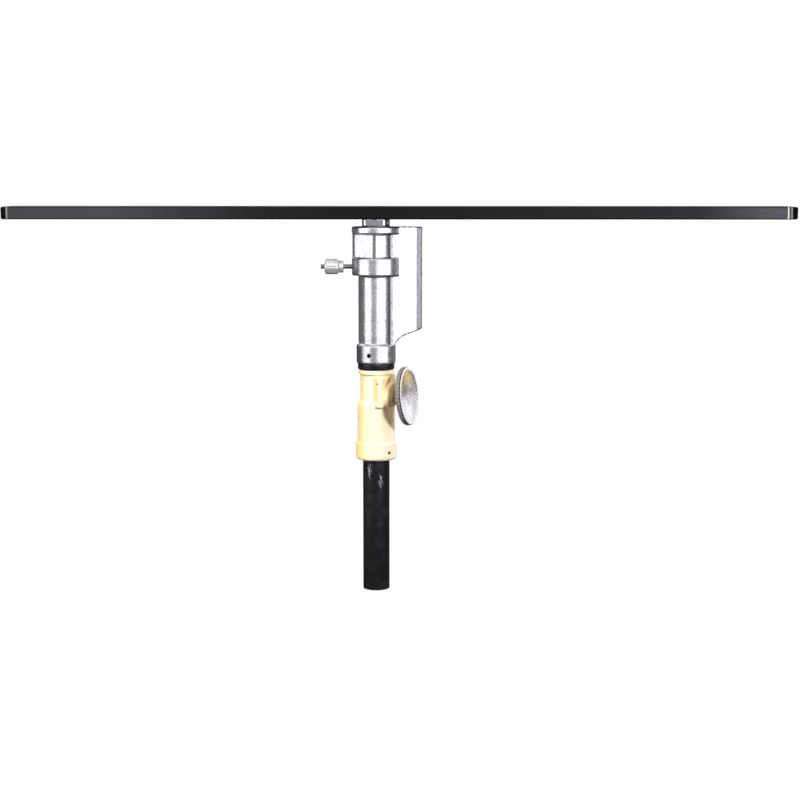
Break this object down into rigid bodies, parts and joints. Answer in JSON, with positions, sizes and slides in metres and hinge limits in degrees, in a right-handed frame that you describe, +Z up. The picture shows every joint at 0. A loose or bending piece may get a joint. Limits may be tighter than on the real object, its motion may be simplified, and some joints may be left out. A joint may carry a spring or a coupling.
{
  "type": "junior stand top with cross bar",
  "caption": "Top end of a junior stand: a clamp collar on a lower tube guides a riser, whose cast receiver head holds the locked junior pin of a long flat cross bar.",
  "frame": {"origin": "centre of the lower tube's open lower end", "axes": "+Z up along the tube, +X along the bar towards its longer arm, -Y to the front"},
  "size_m": [1.016, 0.0881, 0.5029],
  "materials": {
    "black_paint": "gloss black paint with scuffs",
    "cream_paint": "gloss cream paint on a casting",
    "dark_steel": "blackened spring steel",
    "white_nylon": "natural nylon",
    "bright_steel": "ground and plated",
    "cast_aluminium": "tumbled casting",
    "black_rubber": "matte rubber",
    "brass": "turned",
    "zinc_steel": "zinc plated",
    "knob_casting": "worn casting with a trace of cream paint",
    "plated_knob": "satin",
    "polished_steel": "polished",
    "black_bolt": "black oxide",
    "black_anodise": "black anodised, bead blasted"
  },
  "bodies": {
    "column": {"outer_tube": "black_paint", "collar_casting": "cream_paint", "collar_pins": "dark_steel", "collar_liner": "white_nylon", "liner_pin": "dark_steel"},
    "glide": {"riser_glide": "white_nylon"},
    "riser": {"riser_tube": "bright_steel", "head_casting": "cast_aluminium", "head_pin": "dark_steel", "bumper_ring": "black_rubber"},
    "ring": {"thrust_ring": "polished_steel"},
    "bar": {"crossbar": "black_anodise", "spigot_pin": "bright_steel", "spigot_bolt": "black_bolt", "spigot_dowels": "zinc_steel"},
    "shoe": {"clamp_shoe": "brass"},
    "knob": {"clamp_knob": "knob_casting", "clamp_screw": "zinc_steel", "knob_pin": "dark_steel"},
    "tip": {"lock_tip": "brass"},
    "lock": {"lock_screw": "zinc_steel", "lock_knob": "plated_knob", "lock_pin": "dark_steel"}
  },
  "joints": [
    {"name": "riser_slide", "type": "slide", "parent": "column", "child": "glide", "axis": [0, 0, 1], "range_m": [0, 0.18]},
    {"name": "riser_swivel", "type": "hinge", "parent": "glide", "child": "riser", "pos_m": [0, 0, 0.3], "axis": [0, 0, 1], "continuous": true},
    {"name": "bar_lift", "type": "slide", "parent": "riser", "child": "ring", "axis": [0, 0, 1], "range_m": [0, 0.1]},
    {"name": "bar_swivel", "type": "hinge", "parent": "ring", "child": "bar", "pos_m": [0, 0, 0.48], "axis": [0, 0, 1], "continuous": true},
    {"name": "shoe_slide", "type": "slide", "parent": "column", "child": "shoe", "axis": [0.9458, -0.3073, 0.1045], "range_m": [0, 0.00238]},
    {"name": "knob_turn", "type": "hinge", "parent": "shoe", "child": "knob", "pos_m": [0, 0, 0.2535], "axis": [0.9458, -0.3073, 0.1045], "range_deg": [0, 540]},
    {"name": "tip_slide", "type": "slide", "parent": "riser", "child": "tip", "axis": [-1, 0, 0], "range_m": [0, 0.00254]},
    {"name": "lock_turn", "type": "hinge", "parent": "tip", "child": "lock", "pos_m": [0, 0, 0.42555], "axis": [-1, 0, 0], "range_deg": [0, 720]}
  ],
  "couplings": [
    {"joint": "knob_turn", "follows": "shoe_slide", "rad_per_m": 3957.9},
    {"joint": "lock_turn", "follows": "tip_slide", "rad_per_m": 4947.4}
  ]
}
